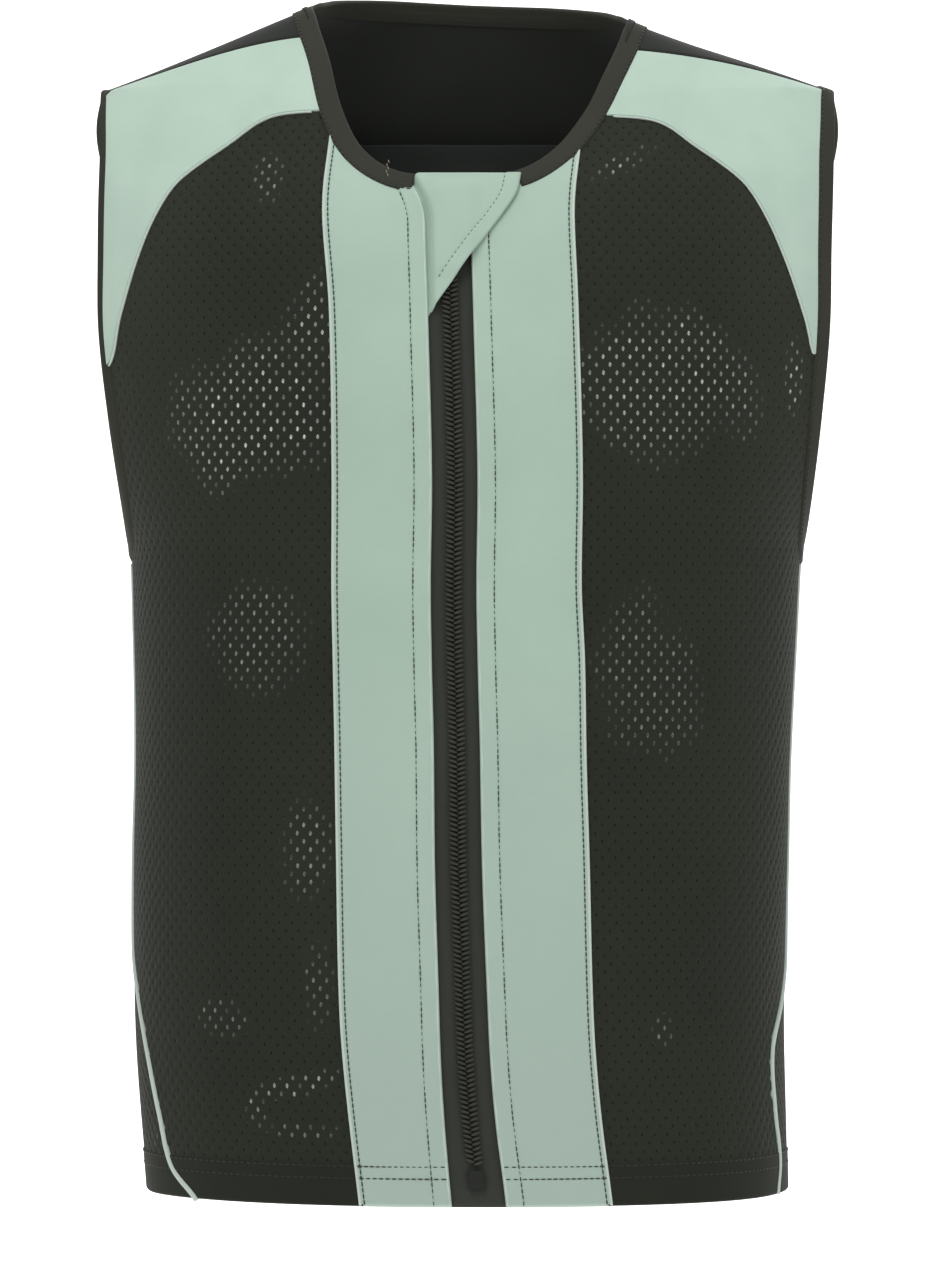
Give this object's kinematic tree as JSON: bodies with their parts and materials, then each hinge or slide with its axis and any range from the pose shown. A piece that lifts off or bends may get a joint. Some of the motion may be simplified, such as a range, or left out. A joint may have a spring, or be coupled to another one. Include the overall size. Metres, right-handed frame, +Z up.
{
  "type": "back protector vest",
  "caption": "Sleeveless zip-front vest with mesh panels and pale centre strips, shown as worn, with a padded back protector inside the back.",
  "frame": {"origin": "between the shoulders, midway across the neck and level with the middle of the shoulder slope, where the wearer carries the vest", "axes": "+X to the wearer's left, the chest faces -Y, +Z up"},
  "size_m": [0.3748, 0.2241, 0.6012],
  "materials": {
    "dark_mesh": "knitted eyelet mesh",
    "pale_cloth": "fine stretch knit",
    "dark_cloth": "smooth knit",
    "dark_binding": "folded elastic binding",
    "pale_piping": "smooth piping",
    "zip_tape": "woven tape",
    "zip_coil": "moulded coil",
    "zip_metal": "dark lacquer",
    "pad_cover": "smooth knit over foam"
  },
  "bodies": {
    "root": {"front_mesh_right": "dark_mesh", "front_mesh_left": "dark_mesh", "shoulder_yoke_right": "pale_cloth", "shoulder_yoke_left": "pale_cloth", "centre_panel_right": "pale_cloth", "centre_panel_left": "pale_cloth", "armhole_binding_right": "dark_binding", "armhole_binding_left": "dark_binding", "neck_binding": "dark_binding", "side_piping_right": "pale_piping", "side_piping_left": "pale_piping", "zip_tape_right": "zip_tape", "zip_tape_left": "zip_tape", "zip_coil_right": "zip_coil", "zip_coil_left": "zip_coil", "zip_slider": "zip_metal", "zip_box": "zip_coil", "zip_guard": "pale_cloth", "back_yoke": "dark_cloth", "back_panel": "dark_mesh", "back_pad": "pad_cover"}
  },
  "joints": []
}
